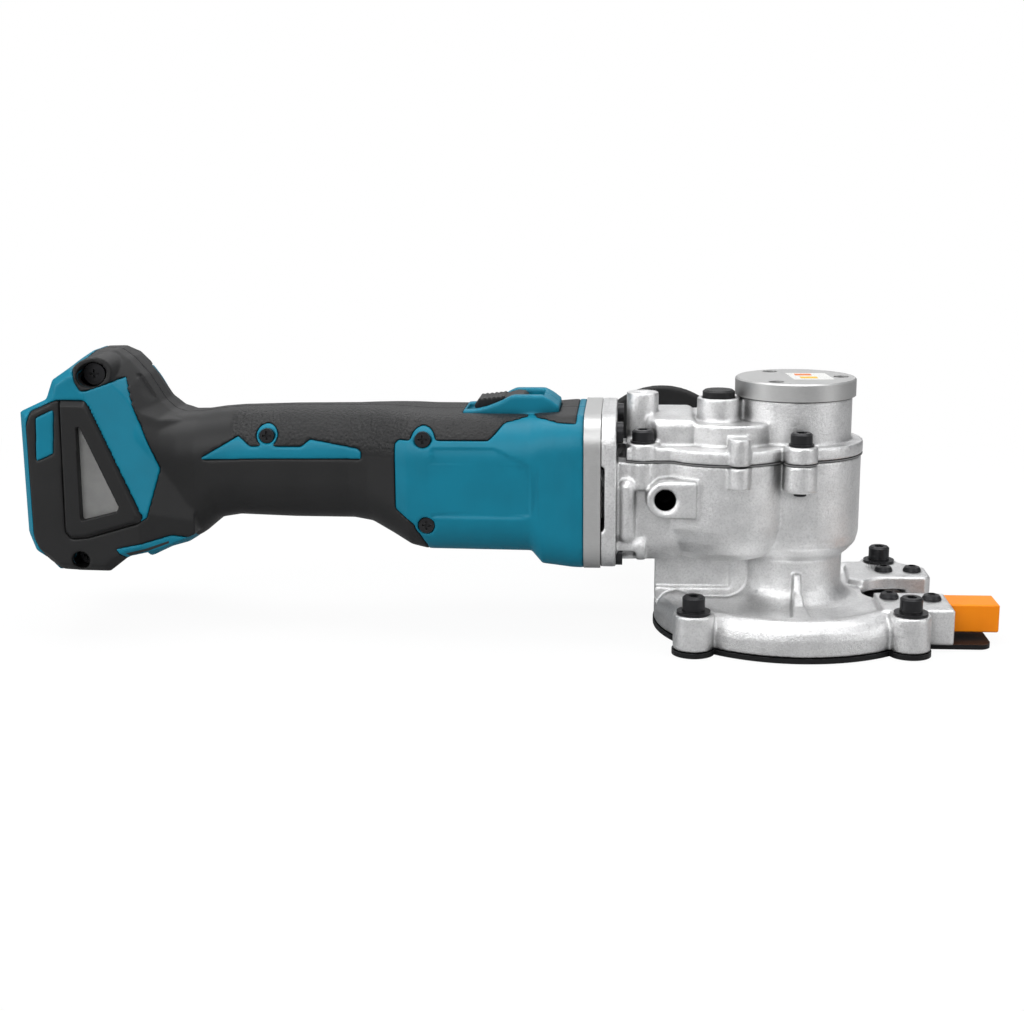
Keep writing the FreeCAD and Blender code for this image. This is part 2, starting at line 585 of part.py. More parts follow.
def bottom_cover():
    """Black wear shoe under the base, with a fork that carries the guide block."""
    disc = base_outline(0.0, BASE_Z, 0.4)
    r = 5.0
    x = 71.2
    near_y = -34.3
    inner_y = MOUTH_NEAR - 2.0
    near = box(30, x, near_y, inner_y, 0, BASE_Z)
    tip = fuse([cyl(r, 0, BASE_Z, x, near_y + r), cyl(r, 0, BASE_Z, x, inner_y - r),
                box(x - 0.5, x + r, near_y + r, inner_y - r, 0, BASE_Z)])
    far = box(30, PRONG_TIP - 1, MOUTH_FAR + 2.0, PRONG_FAR_OUT, 0, BASE_Z)
    plate = fuse([disc, near, tip, far])
    plate = plate.cut(mouth_cutter(-1, 5))
    plate = plate.cut(box(30, 90, inner_y, MOUTH_FAR + 2.0, -1, 5).cut(cyl(41, -1, 5)))
    for x, y in BASE_BOLTS:
        plate = plate.cut(cyl(2.5, -1, 5, x, y))
    for x, y, z, depth in PRONG_SCREWS:
        if depth > 10.0:
            plate = plate.cut(cyl(2.0, -1, 5, x, y))
    return plate


def shell_windows():
    """Side-view outlines where the stiff shell shows through the soft overmould."""
    motor = [(-160.0, 53.5), (-160.0, 79.5), (-158.5, 81.2), (-122.5, 81.2), (-120.2, 83.2), (-116.5, 87.4),
             (-106.0, 89.6), (-99.5, 88.8), (-95.0, 88.0), (-87.6, 88.0), (-87.6, 120.0), (-80.0, 120.0),
             (-80.0, 0.0), (-148.0, 0.0), (-148.0, 38.0), (-152.0, 47.0)]
    strip = [(-241.4, 71.8), (-224.8, 81.2), (-220.0, 77.2), (-199.0, 77.2), (-195.3, 80.1), (-175.2, 76.6),
             (-174.2, 75.2), (-174.2, 72.6)]
    bevel = [(-281.5, 101.5), (-270.6, 105.0), (-255.8, 68.6), (-259.6, 50.4), (-261.6, 49.0), (-281.3, 97.5)]
    label = [(-272.8, 37.8), (-268.6, 33.0), (-262.0, 0.0), (-246.0, 0.0), (-246.0, 40.1), (-251.7, 42.0)]
    rim = [(-330.0, 0.0), (-330.0, 130.0), (-284.0, 130.0), (-286.4, 111.0), (-285.0, 105.0), (-283.0, 101.6),
           (-279.6, 101.6), (-281.0, 97.4), (-293.0, 98.2), (-304.0, 93.6), (-306.0, 88.0), (-306.0, 42.0), (-302.0, 33.0), (-289.0, 24.5), (-289.0, 0.0)]
    pane = [(-301.8, 91.1), (-294.2, 94.6), (-295.6, 76.6), (-302.9, 73.4)]
    return {"motor": motor, "strip": strip, "bevel": bevel, "label": label, "rim": rim, "pane": pane}


DUST_OUTLINE = [(-291.6, 98.2), (-281.6, 98.0), (-280.2, 95.8), (-261.2, 51.0), (-262.0, 48.6),
                (-284.0, 42.2), (-290.4, 41.8), (-292.8, 44.6)]
DUST_WINDOW = [(-285.2, 87.6), (-283.8, 87.8), (-269.8, 55.4), (-270.8, 53.4), (-285.6, 49.6)]


SCREW_PLACES = [(-279.8, 107.6, 4.7, -27.0), (-287.2, 33.0, 3.6, -27.0), (-213.1, 81.5, 3.3, -18.6),
                (-148.5, 81.8, 3.5, -27.6), (-147.5, 47.0, 3.5, -27.6)]


def body_shells():
    """Stiff clam shell and soft overmould, each as a near-side and a far-side half."""
    outer = body_form(0.0)
    mid = body_form(OVERMOULD_T)
    inner = body_form(OVERMOULD_T + SHELL_T)
    windows = shell_windows()
    opened = [prism_y(windows[name], -60, 60) for name in windows]
    screw_rings = [cyl_y(r, -60, 60, x, z) for x, z, r in ((-213.1, 81.5, 4.4), (-148.5, 81.8, 4.7), (-147.5, 47.0, 4.7))]
    dust_hole = prism_y(DUST_OUTLINE, -60, 60)
    soft = outer.cut(mid).cut(fuse(opened + screw_rings)).cut(dust_hole)
    stiff = outer.cut(soft).cut(inner)
    inside = []
    for x, z, r, y in SCREW_PLACES:
        inside.append(cyl_y(4.6, -32, 32, x, z))
    for y, z in FLANGE_SCREWS:
        inside.append(cyl_x(5.0, -99.0, -84.6, y, z))
    wall = box(-153.0, -145.6, -30, 30, 34.0, 79.0)
    inside.append(wall)
    stiff = fuse([stiff, fuse(inside).common(mid)])
    stiff = stiff.cut(cyl_x(9.5, -154.0, -145.0, 0, MOTOR_Z))
    stiff = stiff.cut(dust_hole.cut(box(-330, -200, -REAR_HALF + 3.5, REAR_HALF - 3.5, 0, 130)))
    stiff = stiff.cut(prism_y(DUST_WINDOW, -60, 60).cut(box(-330, -200, -30, 30, 0, 130)))
    mouth = box(-330, -303.4, -29.0, 29.0, 40.0, 130.0)
    stiff = stiff.cut(mouth)
    soft = soft.cut(mouth)
    stiff = stiff.cut(box(-90.0, -84.0, -21.0, 21.0, 38.0, 80.0))
    # raised guard round the slide switch
    guard = prism_y([(-134.5, 87.1), (-134.0, 91.0), (-129.0, 91.2), (-124.0, 92.4), (-118.5, 94.6), (-116.0, 96.0),
                     (-113.6, 97.1), (-101.8, 97.1), (-98.7, 95.5), (-95.0, 92.7), (-95.4, 87.1)], -13.0, 13.0)
    soft = soft.cut(guard)
    stiff = fuse([stiff, guard.cut(mid)])
    for x, z, r, y in SCREW_PLACES:
        pocket = cyl_y(r, -60, y, x, z)
        hole = cyl_y(1.6, y, 24.0, x, z)
        soft = soft.cut(pocket).cut(hole)
        stiff = stiff.cut(pocket).cut(hole)
    for y, z in FLANGE_SCREWS:
        stiff = stiff.cut(cyl_x(2.0, -100.0, -84.0, y, z))
    channel = box(-133.0, -101.4, -8.0, 8.0, 88.5, 105.0)
    slot = box(-126.0, -107.0, -4.3, 4.3, 80.0, 95.0)
    run = box(-190.0, -104.0, -3.6, 3.6, 83.9, 87.0)
    cuts = fuse([channel, slot, run])
    soft = soft.cut(cuts)
    stiff = stiff.cut(cuts)
    near_box = box(-340, -60, -60, 0, -10, 140)
    far_box = box(-340, -60, 0, 60, -10, 140)
    return {
        "shell_near": stiff.common(near_box),
        "shell_far": stiff.common(far_box),
        "overmould_near": soft.common(near_box),
        "overmould_far": soft.common(far_box),
    }, inner


def dust_cover(side):
    """Bevelled triangular filter cover with its own window."""
    base = prism_y(DUST_OUTLINE, -REAR_HALF + 0.4, -REAR_HALF + 3.5)
    lo = [Vector(x, -REAR_HALF + 0.4, z) for x, z in DUST_OUTLINE]
    cx = -281.0
    cz = 65.0
    hi = []
    for x, z in DUST_OUTLINE:
        d = math.hypot(x - cx, z - cz)
        hi.append(Vector(cx + (x - cx) * (d - 2.2) / d, -REAR_HALF - 1.6, cz + (z - cz) * (d - 2.2) / d))
    crown = Part.makeLoft([Part.makePolygon(lo + [lo[0]]), Part.makePolygon(hi + [hi[0]])], True, True)
    body = fuse([base, crown]).cut(prism_y(DUST_WINDOW, -60, 60))
    return body if side < 0 else mirror_y(body)


def dust_mesh(side):
    """Fine filter screen held in the cover's window."""
    plate = prism_y(DUST_WINDOW, -REAR_HALF + 2.0, -REAR_HALF + 2.5)
    return plate if side < 0 else mirror_y(plate)


def housing_screws():
    group = []
    for x, z, r, y in SCREW_PLACES:
        head_r = r - 0.4
        head = cyl_y(head_r, y - 2.0, y, x, z)
        cross = fuse([box(x - 0.5, x + 0.5, y - 2.1, y - 0.9, z - 1.9, z + 1.9),
                      box(x - 1.9, x + 1.9, y - 2.1, y - 0.9, z - 0.5, z + 0.5)])
        group.append(fuse([head, cyl_y(1.55, y, 22.0, x, z)]).cut(cross))
    return group


def switch_knob():
    """Ribbed thumb slide on a stem."""
    top = [(-129.0, 88.8), (-129.8, 92.4), (-128.4, 94.2)]
    x = -128.4
    for k in range(6):
        top += [(x + 0.5, 95.1 + 0.2 * k), (x + 1.3, 95.1 + 0.2 * k), (x + 1.6, 94.4 + 0.2 * k)]
        x += 1.9
    top += [(-115.6, 96.0), (-112.6, 96.8), (-109.8, 96.6), (-108.2, 95.0), (-108.0, 88.8)]
    knob = prism_y(top, -7.3, 7.3)
    stem = box(-124.5, -114.5, -3.9, 3.9, 86.6, 89.1)
    return fuse([knob, stem])


def switch_link():
    """Flat push bar from the thumb slide back to the switch."""
    bar = box(-188.0, -113.0, -3.2, 3.2, 84.4, 86.3)
    hook = box(-188.0, -185.5, -3.2, 3.2, 81.4, 84.4)
    pad = box(-124.5, -114.5, -3.2, 3.2, 86.3, 86.6)
    return fuse([bar, hook, pad])


def switch_unit():
    case = box(-208.0, -176.0, -9.0, 9.0, 58.0, 76.4)
    plunger_post = box(-198.0, -192.0, -3.0, 3.0, 76.4, 80.6)
    ribs = [box(-206.0 + 5 * k, -204.4 + 5 * k, -9.6, 9.6, 59.0, 75.0) for k in range(6)]
    return fuse([case, plunger_post] + ribs)


def terminal_block(inner):
    plate = box(-303.2, -297.0, -31.5, 31.5, 38.0, 96.0).common(inner)
    rails = [box(-308.4, -303.0, s * 25.0 - 2.2, s * 25.0 + 2.2, 44.0, 84.0) for s in (-1, 1)]
    lips = [box(-308.4, -306.4, s * 22.5 - 2.5, s * 22.5 + 2.5, 44.0, 84.0) for s in (-1, 1)]
    body = fuse([plate] + rails + lips)
    for y in (-13.0, 0.0, 13.0):
        body = body.cut(box(-304.0, -296.0, y - 0.5, y + 0.5, 56.0, 74.0))
    return body


def terminal_blades():
    group = []
    for y in (-13.0, 0.0, 13.0):
        group.append(box(-307.4, -294.6, y - 0.5, y + 0.5, 56.0, 74.0))
    return group


def controller():
    case = box(-293.0, -265.0, -22.0, 22.0, 44.0, 72.0)
    fins = [box(-292.0 + 4 * k, -290.4 + 4 * k, -20.0, 20.0, 72.0, 76.0) for k in range(7)]
    return fuse([case] + fins)


def stator():
    core = ring_x(16.4, 19.3, -141.0, -108.0)
    teeth = []
    for k in range(6):
        tooth = fuse([box(-141.0, -108.0, -2.2, 2.2, MOTOR_Z + 12.6, MOTOR_Z + 17.0),
                      box(-141.0, -108.0, -4.4, 4.4, MOTOR_Z + 11.6, MOTOR_Z + 13.0)])
        tooth = tooth.cut(cyl_x(11.6, -142, -107, 0, MOTOR_Z))
        tooth.rotate(Vector(0, 0, MOTOR_Z), Vector(1, 0, 0), 60 * k)
        teeth.append(tooth)
    return fuse([core] + teeth)


def windings():
    group = []
    for k in range(6):
        coil = box(-142.7, -105.6, -4.4, 4.4, MOTOR_Z + 13.1, MOTOR_Z + 15.6)
        coil = coil.cut(box(-141.0, -108.0, -2.2, 2.2, MOTOR_Z + 10, MOTOR_Z + 19))
        coil.rotate(Vector(0, 0, MOTOR_Z), Vector(1, 0, 0), 60 * k)
        group.append(coil)
    return group


def fan():
    hub = cyl_x(7.0, -103.6, -95.0, 0, MOTOR_Z)
    disc = cyl_x(20.5, -103.6, -102.4, 0, MOTOR_Z)
    blades = []
    for k in range(11):
        blade = box(-102.6, -95.0, -0.6, 0.6, MOTOR_Z + 6.0, MOTOR_Z + 20.0)
        blade.rotate(Vector(0, 0, MOTOR_Z + 6), Vector(1, 0, 0), 18)
        blade.rotate(Vector(0, 0, MOTOR_Z), Vector(1, 0, 0), 360.0 / 11 * k)
        blades.append(blade)
    return fuse([hub, disc] + blades).cut(cyl_x(MOTOR_R, -110, -90, 0, MOTOR_Z))


def motor_shaft(x_big, x_near):
    return fuse([cyl_x(3.0, -152.0, -146.0, 0, MOTOR_Z), cyl_x(MOTOR_R, -146.0, x_big - 4.5, 0, MOTOR_Z),
                 cyl_x(2.5, x_big - 4.5, x_near - 1.0, 0, MOTOR_Z)])


def bearing_plate():
    """Plate between motor housing and gear head that carries the front motor bearing."""
    body = flange_block(-84.6, FLANGE_X0, 33.6, 28.6, 91.2, 12.0)
    body = body.cut(cyl_x(11.0, -84.0, -77.0, 0, MOTOR_Z)).cut(cyl_x(8.0, -90, -70, 0, MOTOR_Z))
    for k in range(6):
        a = math.radians(60 * k + 30)
        body = body.cut(cyl_x(4.2, -90, -70, 17.2 * math.sin(a), MOTOR_Z + 17.2 * math.cos(a)))
    for y, z in FLANGE_SCREWS:
        body = body.cut(cyl_x(2.5, -90, -70, y, z))
    return body


def flange_screws():
    group = []
    for y, z in FLANGE_SCREWS:
        head = cyl_x(4.3, FLANGE_X1, FLANGE_X1 + 2.6, y, z)
        hexagon = [Vector(FLANGE_X1 + 1.0, y + 1.6 * math.cos(math.pi * k / 3), z + 1.6 * math.sin(math.pi * k / 3))
                   for k in range(6)]
        recess = polygon_face(hexagon).extrude(Vector(3, 0, 0))
        shank = fuse([cyl_x(2.45, -84.6, FLANGE_X1, y, z), cyl_x(1.95, -96.0, -84.6, y, z)])
        group.append(fuse([head, shank]).cut(recess))
    return group


def intermediate_shaft():
    return fuse([cyl(4.0, 38.2, 43.3, INTER_X), cyl(INTER_R, 43.3, 84.4, INTER_X), cyl(2.0, 84.4, 89.0, INTER_X)])


def lock_plate():
    body = ring(INTER_R, 13.2, 82.3, 84.2, INTER_X)
    for k in range(6):
        a = LOCK_ANGLE + math.radians(60 * k)
        body = body.cut(cyl(2.2, 80, 90, INTER_X + LOCK_CIRCLE_R * math.cos(a), LOCK_CIRCLE_R * math.sin(a)))
    return body


def spindle():
    body = revolve_z([(0, BLADE_Z), (5.0, BLADE_Z), (5.0, 10.4), (SPINDLE_R, 10.4), (SPINDLE_R, 39.0), (5.5, 42.0),
                      (5.5, 55.0), (SPINDLE_R, 58.0), (SPINDLE_R, 84.4), (TOP_JOURNAL_R, 84.4), (TOP_JOURNAL_R, 92.4),
                      (0, 92.4)])
    return body.cut(cyl(3.0, 0, 17.0))


def blade_bolt():
    head = Part.makeCone(4.2, 5.4, 0.9, Vector(0, 0, 2.5), Vector(0, 0, 1))
    hexagon = prism_z([(2.0 * math.cos(math.pi * k / 3), 2.0 * math.sin(math.pi * k / 3)) for k in range(6)], 2.0, 4.4)
    return fuse([head, cyl(3.0, 3.4, 16.0)]).cut(hexagon)


def lock_button():
    cap = cyl(6.45, 94.6, 98.6, LOCK_X, LOCK_Y)
    crown = Part.makeCone(6.45, 5.6, 0.7, Vector(LOCK_X, LOCK_Y, 98.6), Vector(0, 0, 1))
    return fuse([cap, crown])


def lock_pin():
    return cyl(1.8, 85.3, 94.6, LOCK_X, LOCK_Y)


def lock_spring():
    """Coil spring under the button, drawn as flat facets along the helix."""
    turns = 3
    steps = 16
    sides = 6
    rings = []
    for i in range(turns * steps + 1):
        a = 2 * math.pi * i / steps
        centre = Vector(LOCK_X, LOCK_Y, 90.75 + 1.15 * i / steps)
        out = Vector(math.cos(a), math.sin(a), 0)
        row = []
        for k in range(sides):
            t = 2 * math.pi * k / sides
            row.append(centre + out * (4.0 + 0.3 * math.cos(t)) + Vector(0, 0, 0.3 * math.sin(t)))
        rings.append(row)
    faces = [polygon_face(rings[0]), polygon_face(rings[-1])]
    for low, high in zip(rings, rings[1:]):
        for k in range(sides):
            n = (k + 1) % sides
            faces.append(polygon_face([low[k], low[n], high[n]]))
            faces.append(polygon_face([low[k], high[n], high[k]]))
    shell = Part.makeShell(faces)
    shell.sewShape()
    solid = Part.makeSolid(shell)
    if solid.Volume < 0:
        solid.reverse()
    return solid


def stop_block():
    body = box(PRONG_TIP, 80.6, -24.6, -9.9, 4.2, 15.6)
    body = body.makeChamfer(0.5, [e for e in body.Edges if e.BoundBox.XMax > 80.0])
    bore = cyl_x(1.6, PRONG_TIP - 1, 82.0, BLOCK_SCREW_Y, BLOCK_SCREW_Z)
    return body.cut(bore).cut(cyl_x(2.95, 77.6, 82.0, BLOCK_SCREW_Y, BLOCK_SCREW_Z))


def block_screw():
    head = cyl_x(2.75, 77.6, 80.1, BLOCK_SCREW_Y, BLOCK_SCREW_Z)
    hexagon = [Vector(78.6, BLOCK_SCREW_Y + 1.3 * math.cos(math.pi * k / 3), BLOCK_SCREW_Z + 1.3 * math.sin(math.pi * k / 3))
               for k in range(6)]
    recess = polygon_face(hexagon).extrude(Vector(3, 0, 0))
    return fuse([head, cyl_x(1.55, 53.0, 77.6, BLOCK_SCREW_Y, BLOCK_SCREW_Z)]).cut(recess)


def side_handle():
    """Rubber auxiliary grip with a wide hand guard disc, on the far side."""
    pts = [(5.0, 56.0), (31.3, 56.0), (32.3, 57.2), (32.3, 59.0), (30.3, 60.4), (14.0, 61.6), (12.6, 66.0),
           (13.6, 80.0), (15.0, 104.0), (14.6, 128.0), (13.2, 148.0), (14.6, 153.0), (13.4, 157.6), (8.0, 158.6),
           (0.0, 158.6), (0.0, 84.0), (5.0, 84.0)]
    face = polygon_face([Vector(HANDLE_X + r, y, HANDLE_Z) for r, y in pts])
    return face.revolve(Vector(HANDLE_X, 0, HANDLE_Z), Vector(0, 1, 0), 360)


def handle_stud():
    collar = cyl_y(7.0, 38.0, 56.0, HANDLE_X, HANDLE_Z)
    return fuse([cyl_y(3.98, 25.0, 38.0, HANDLE_X, HANDLE_Z), collar, cyl_y(5.0, 56.0, 84.0, HANDLE_X, HANDLE_Z)])


def cap_sticker():
    return prism_z([(-3.4, 9.6), (12.6, 9.6), (14.6, -9.2), (-1.4, -9.2)], CAP_TOP, CAP_TOP + 0.15)


def save(name, shapes):
    if not isinstance(shapes, list):
        shapes = [shapes]
    solids = []
    for s in shapes:
        solids.extend(s.Solids)
    good = [s for s in solids if s.Volume > 0.5]
    shape = good[0] if len(good) == 1 else Part.makeCompound(good)
    shape.exportStep("parts/" + name + ".step")
    if not shape.isValid() or len(good) != len(solids):
        print("check", name, len(good), len(solids))


def main():
    os.makedirs("parts", exist_ok=True)
    halves, inner = body_shells()
    gear, pinion, x_big, x_near = bevel_pair()
    nodes = dict(halves)
    nodes["dust_cover_near"] = dust_cover(-1)
    nodes["dust_cover_far"] = dust_cover(1)
    nodes["dust_screens"] = [dust_mesh(-1), dust_mesh(1)]
    nodes["housing_screws"] = housing_screws()
    nodes["switch_knob"] = switch_knob()
    nodes["switch_link"] = switch_link()
    nodes["switch_unit"] = switch_unit()
    nodes["terminal_block"] = terminal_block(inner)
    nodes["terminal_blades"] = terminal_blades()
    nodes["controller"] = controller()
    nodes["stator_core"] = stator()
    nodes["stator_windings"] = windings()
    nodes["rotor_core"] = ring_x(MOTOR_R, 11.0, -141.0, -108.0)
    nodes["motor_shaft"] = motor_shaft(x_big, x_near)
    nodes["cooling_fan"] = fan()
    nodes["motor_bearing_rear"] = ring_x(3.0 + RUN, 9.5, -152.0, -146.4)
    nodes["motor_bearing_front"] = ring_x(MOTOR_R + RUN, 11.0, -84.0, FLANGE_X0)
    nodes["bearing_plate"] = bearing_plate()
    nodes["flange_screws"] = flange_screws()
    nodes["gear_housing"] = gear_housing()
    nodes["gear_cover"] = gear_cover()
    nodes["cover_gasket"] = cover_gasket()
    nodes["cover_bolts"] = [socket_head(4.3, 5.2, 2.3, COVER_EAR_TOP, x, y, 2.45, 19.8, 0.6) for x, y in COVER_BOLTS]
    nodes["end_cap"] = end_cap()
    nodes["cap_screws"] = cap_screws()
    nodes["cap_sticker"] = cap_sticker()
    nodes["bevel_pinion"] = pinion
    nodes["bevel_gear"] = gear
    nodes["intermediate_shaft"] = intermediate_shaft()
    nodes["intermediate_bearing_lower"] = ring(4.0 + RUN, 8.0, 38.0, 43.0, INTER_X)
    nodes["intermediate_bearing_upper"] = ring(2.0 + RUN, 6.5, 84.6, 89.3, INTER_X)
    nodes["spur_pinion"] = spur_wheel(SPUR_PINION_T, SPUR_Z[0], SPUR_Z[1], INTER_X, 0.0, INTER_R)
    nodes["lock_plate"] = lock_plate()
    nodes["spur_gear"] = spur_wheel(SPUR_GEAR_T, SPUR_Z[0], SPUR_Z[1], 0.0, math.pi / SPUR_GEAR_T, SPINDLE_R)
    nodes["spindle"] = spindle()
    nodes["spindle_bearing_lower"] = ring(SPINDLE_R + RUN, 16.0, 19.0, 28.0)
    nodes["spindle_bearing_upper"] = ring(TOP_JOURNAL_R + RUN, 13.0, 84.6, 92.6)
    nodes["oil_seal"] = ring(SPINDLE_R + RUN, 12.0, 12.4, 17.6)
    nodes["blade_flange_inner"] = ring(5.0, 14.0, BLADE_Z + BLADE_T, 10.2)
    nodes["blade_flange_outer"] = ring(3.0, 14.0, 3.4, BLADE_Z)
    tips = carbide_tips()
    nodes["saw_blade"] = saw_blade().cut(Part.makeCompound(tips))
    nodes["carbide_tips"] = tips
    nodes["blade_bolt"] = blade_bolt()
    nodes["lock_button"] = lock_button()
    nodes["lock_pin"] = lock_pin()
    nodes["lock_spring"] = lock_spring()
    nodes["bottom_cover"] = bottom_cover()
    nodes["base_bolts"] = [socket_head(4.4, 5.0, 2.2, EAR_TOP + 2.0, x, y, 2.45, 17.4, 0.0) for x, y in BASE_BOLTS]
    nodes["base_washers"] = [ring(2.6, 6.6, EAR_TOP, EAR_TOP + 1.1, x, y) for x, y in BASE_BOLTS]
    nodes["spring_washers"] = [ring(2.6, 4.5, EAR_TOP + 1.1, EAR_TOP + 2.0, x, y) for x, y in BASE_BOLTS]
    nodes["prong_screws"] = [button_head_z(x, y, z, 3.8, 2.3, 1.95, depth) for x, y, z, depth in PRONG_SCREWS]
    nodes["stop_block"] = stop_block()
    nodes["block_screw"] = block_screw()
    nodes["side_handle"] = side_handle()
    nodes["handle_stud"] = handle_stud()
    for name, shape in nodes.items():
        save(name, shape)


main()
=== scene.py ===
import json
import math

import bpy
import bmesh
from mathutils import Matrix, Vector


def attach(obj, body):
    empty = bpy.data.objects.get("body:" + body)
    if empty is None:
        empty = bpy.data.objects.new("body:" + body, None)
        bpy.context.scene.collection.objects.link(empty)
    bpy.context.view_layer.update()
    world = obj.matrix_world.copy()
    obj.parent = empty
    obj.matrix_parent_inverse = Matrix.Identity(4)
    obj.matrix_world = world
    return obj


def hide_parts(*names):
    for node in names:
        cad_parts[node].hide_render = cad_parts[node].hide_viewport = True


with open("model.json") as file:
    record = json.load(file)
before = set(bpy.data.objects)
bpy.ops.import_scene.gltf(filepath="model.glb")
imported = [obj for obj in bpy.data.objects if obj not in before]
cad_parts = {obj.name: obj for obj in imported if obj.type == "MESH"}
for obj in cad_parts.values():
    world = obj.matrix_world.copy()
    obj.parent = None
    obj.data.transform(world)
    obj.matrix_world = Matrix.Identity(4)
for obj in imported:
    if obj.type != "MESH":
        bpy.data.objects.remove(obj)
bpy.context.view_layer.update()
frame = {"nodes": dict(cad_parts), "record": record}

NODES = frame["nodes"]
BODY_OF = {n: b for b, names in frame["record"]["behaviour"]["bodies"].items() for n in names}
SLOT_OF = {s["node"]: s["material_slot"] for s in frame["record"]["subparts"]}
MM = 0.001
scene = bpy.context.scene
scene.view_settings.view_transform = "Standard"

# Colours, linear RGB
TEAL = (0.0010, 0.180, 0.275)
SOFT_BLACK = (0.0095, 0.0095, 0.0098)
HARD_BLACK = (0.010, 0.010, 0.0103)
ORANGE = (1.0, 0.27, 0.002)
CAST_GREY = (0.90, 0.90, 0.90)
MACHINED_GREY = (0.58, 0.58, 0.575)
OXIDE_BLACK = (0.022, 0.022, 0.024)
PLATE_BLACK = (0.012, 0.012, 0.013)
BARE_STEEL = (0.20, 0.20, 0.21)
# painted shade: near-black painted into deep screw wells and the handle bore
WELL_SHADE_BLACK = (0.003, 0.003, 0.003)
LABEL_GREY = (0.030, 0.030, 0.031)
FILM_WHITE = ((0.80, 0.80, 0.78), (0.88, 0.88, 0.86))
FILM_ORANGE = (0.85, 0.20, 0.01)
FILM_YELLOW = (0.88, 0.55, 0.01)
CLOTH_DARK = (0.09, 0.09, 0.09)
CLOTH_LIGHT = (0.42, 0.42, 0.41)
CLOTH_DUST = (0.20, 0.20, 0.20)

# Places on the part in mm: (x, z, radius) of round wells, and convex side-view outlines of
# (x, z) points given clockwise
# The wells and the handle bore are painted near-black as painted shade in deep holes.
REAR_WELLS = ((-279.8, 107.6, 4.9), (-287.2, 33.0, 3.8))
HANDLE_BORE = ((-52.6, 59.3, 4.1),)
BLANK_LABEL = [(-268.9, 36.0), (-252.4, 40.0), (-252.5, 38.8), (-267.5, 34.5)]
MOTOR_PANEL = [(-145.2, 78.8), (-119.9, 78.9), (-98.6, 68.2), (-98.7, 54.3), (-109.3, 50.1), (-145.7, 50.3)]
GAUGE_PANEL = [(-267.9, 105.0), (-260.2, 107.3), (-255.5, 98.1), (-263.2, 95.4)]
NEAR_SKIN_Y = -20.0
NEAR_WELL_Y = -24.0
LEATHER_X = (-226.0, -100.0)
LEATHER_Z = (78.0, 120.0)
PATCH_EDGE = 0.15
ORANGE_PATCH = ((0.0, 6.6), (2.2, 7.4))
YELLOW_PATCH = ((1.4, 8.2), (-6.6, -1.2))

# Soft copies: voxel size in mm and smoothing passes for each node
SOFT = {
    "gear_housing": (0.6, 8),
    "gear_cover": (0.6, 8),
    "shell_near": (0.6, 7),
    "shell_far": (0.6, 7),
    "overmould_near": (0.6, 8),
    "overmould_far": (0.6, 8),
    "dust_cover_near": (0.45, 2),
    "dust_cover_far": (0.45, 2),
    "side_handle": (0.8, 3),
    "switch_knob": (0.4, 2),
}
SMOOTH_FACTOR = 0.5
KEPT_FACES = 0.5
CREASE_DEG = 32
PANEL_DEPTH = 0.6
MOTOR_PANEL_EDGE = 0.9
GAUGE_PANEL_EDGE = 0.7
FACING_LIMIT = 0.25

# Studio, in metres
FLOOR_HALF = 6.0
FLOOR_CELLS = 24
FLOOR_Z = -0.0004
FLOOR_WHITE = (0.93, 0.93, 0.93, 1.0)
FLOOR_BOUNCE = (0.40, 0.40, 0.40, 1.0)
SHADOW_X = (-360.0, 120.0)
SHADOW_Y = (-120.0, 160.0)
SHADOW_FADE = 260.0
SHADOW_SHARE = 0.07
SKY_LOW = (0.06, 0.06, 0.063, 1)
SKY_HIGH = (0.42, 0.425, 0.435, 1)
SKY_STOPS = (0.30, 0.95)
MID = (-0.12, 0.0, 0.06)
HEAD = (0.0, 0.0, 0.05)
LIGHTS = (
    ("key_front", 1.1, 0.8, (-0.55, -1.35, 0.95), MID, 11),
    ("strip_left", 0.25, 0.9, (-1.15, -0.45, 0.45), MID, 4.0),
    ("strip_right", 0.35, 0.9, (0.95, -0.55, 0.45), HEAD, 3.0),
    ("top", 1.5, 0.7, (-0.1, 0.05, 1.25), MID, 12),
    ("back_rim", 1.6, 0.4, (-0.1, 1.15, 0.75), MID, 3.0),
)
SENSOR_MM = 36.0
LENS_MM = 55.515
CAMERA_AT = Vector((-0.0664, -0.6412, 0.1893))
YAW = math.radians(4.365)
PITCH = math.radians(12.308)
ROLL = math.radians(-0.428)
CLIP = (0.01, 50.0)


def shade(color, factor, lift=0.0):
    """The colour times a factor, plus a lift, kept within 1."""
    return tuple(min(1.0, c * factor + lift) for c in color)


def outline_sides(outline):
    """For each side of a clockwise outline: its start point and its inward unit normal."""
    sides = []
    for (x0, z0), (x1, z1) in zip(outline, outline[1:] + outline[:1]):
        run = math.hypot(x1 - x0, z1 - z0)
        sides.append((x0, z0, (z1 - z0) / run, -(x1 - x0) / run))
    return sides


